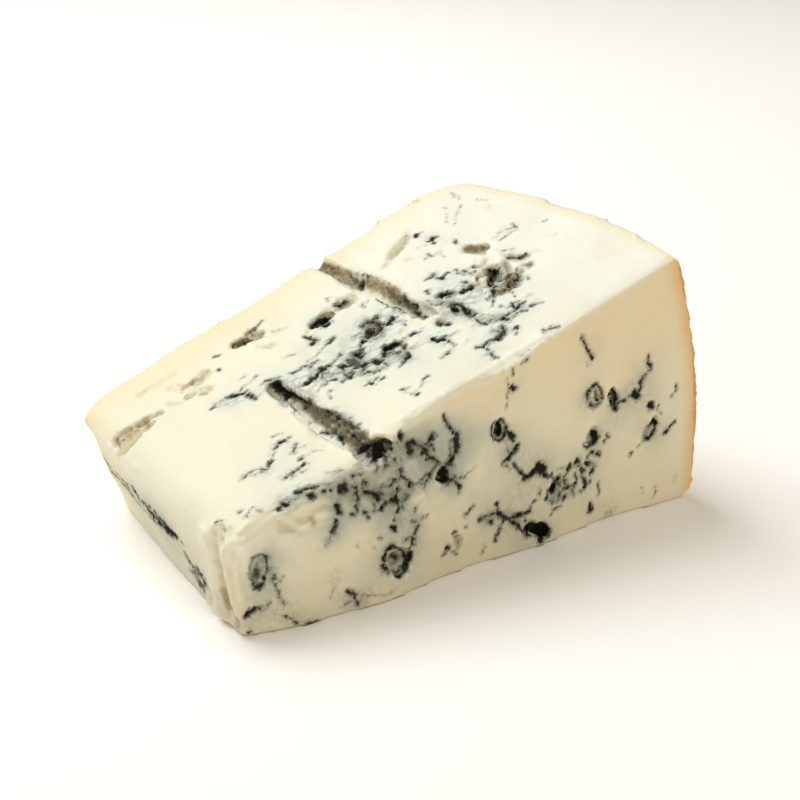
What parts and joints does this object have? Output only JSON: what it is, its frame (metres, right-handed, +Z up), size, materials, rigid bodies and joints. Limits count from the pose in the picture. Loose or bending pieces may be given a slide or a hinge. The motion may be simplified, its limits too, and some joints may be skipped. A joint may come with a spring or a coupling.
{
  "type": "wedge of blue cheese",
  "caption": "Blunt wedge of soft blue-veined cheese cut from a half wheel, lying on one cut side, with rind on its back and wide end.",
  "frame": {"origin": "centre of the bounding box at the height of the flat underside", "axes": "+X from the blunt tip to the curved rind, +Y from the cut that halved the wheel to the flat rind, +Z up"},
  "size_m": [0.1444, 0.0858, 0.0757],
  "materials": {
    "cheese_wedge": "soft ivory paste with blue-green mould veins, and a tan rind on the back and wide end"
  },
  "bodies": {
    "root": {"cheese_wedge": "cheese_wedge"}
  },
  "joints": []
}
